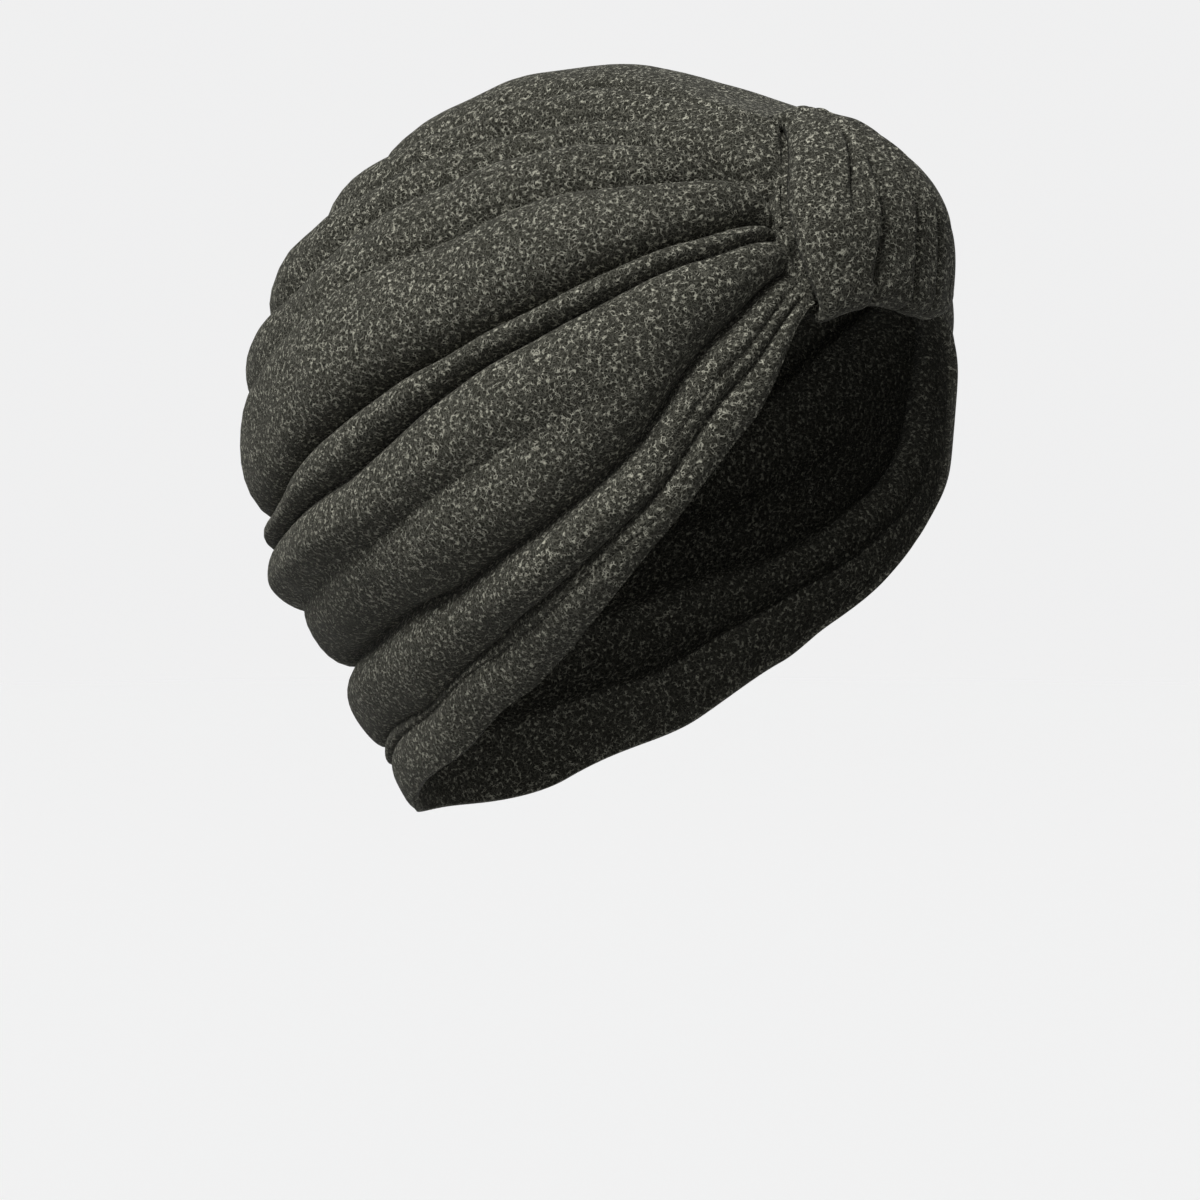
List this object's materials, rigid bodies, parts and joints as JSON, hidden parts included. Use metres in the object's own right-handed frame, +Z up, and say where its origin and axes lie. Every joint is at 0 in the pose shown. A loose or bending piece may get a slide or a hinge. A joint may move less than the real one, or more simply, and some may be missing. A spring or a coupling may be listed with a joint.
{
  "type": "turban headwrap",
  "caption": "Pre-tied stretch jersey turban cap with soft folds that fan from a pleated knot band at the forehead round the head to the nape",
  "frame": {"origin": "where the top of the head touches the inside of the cap", "axes": "+Z up, the forehead and the knot toward -Y, the wearer's right side toward -X"},
  "size_m": [0.1814, 0.2258, 0.2177],
  "materials": {
    "jersey_cap": "matte melange knit",
    "jersey_band": "matte melange knit"
  },
  "bodies": {
    "root": {"cap": "jersey_cap", "knot_band": "jersey_band"}
  },
  "joints": []
}
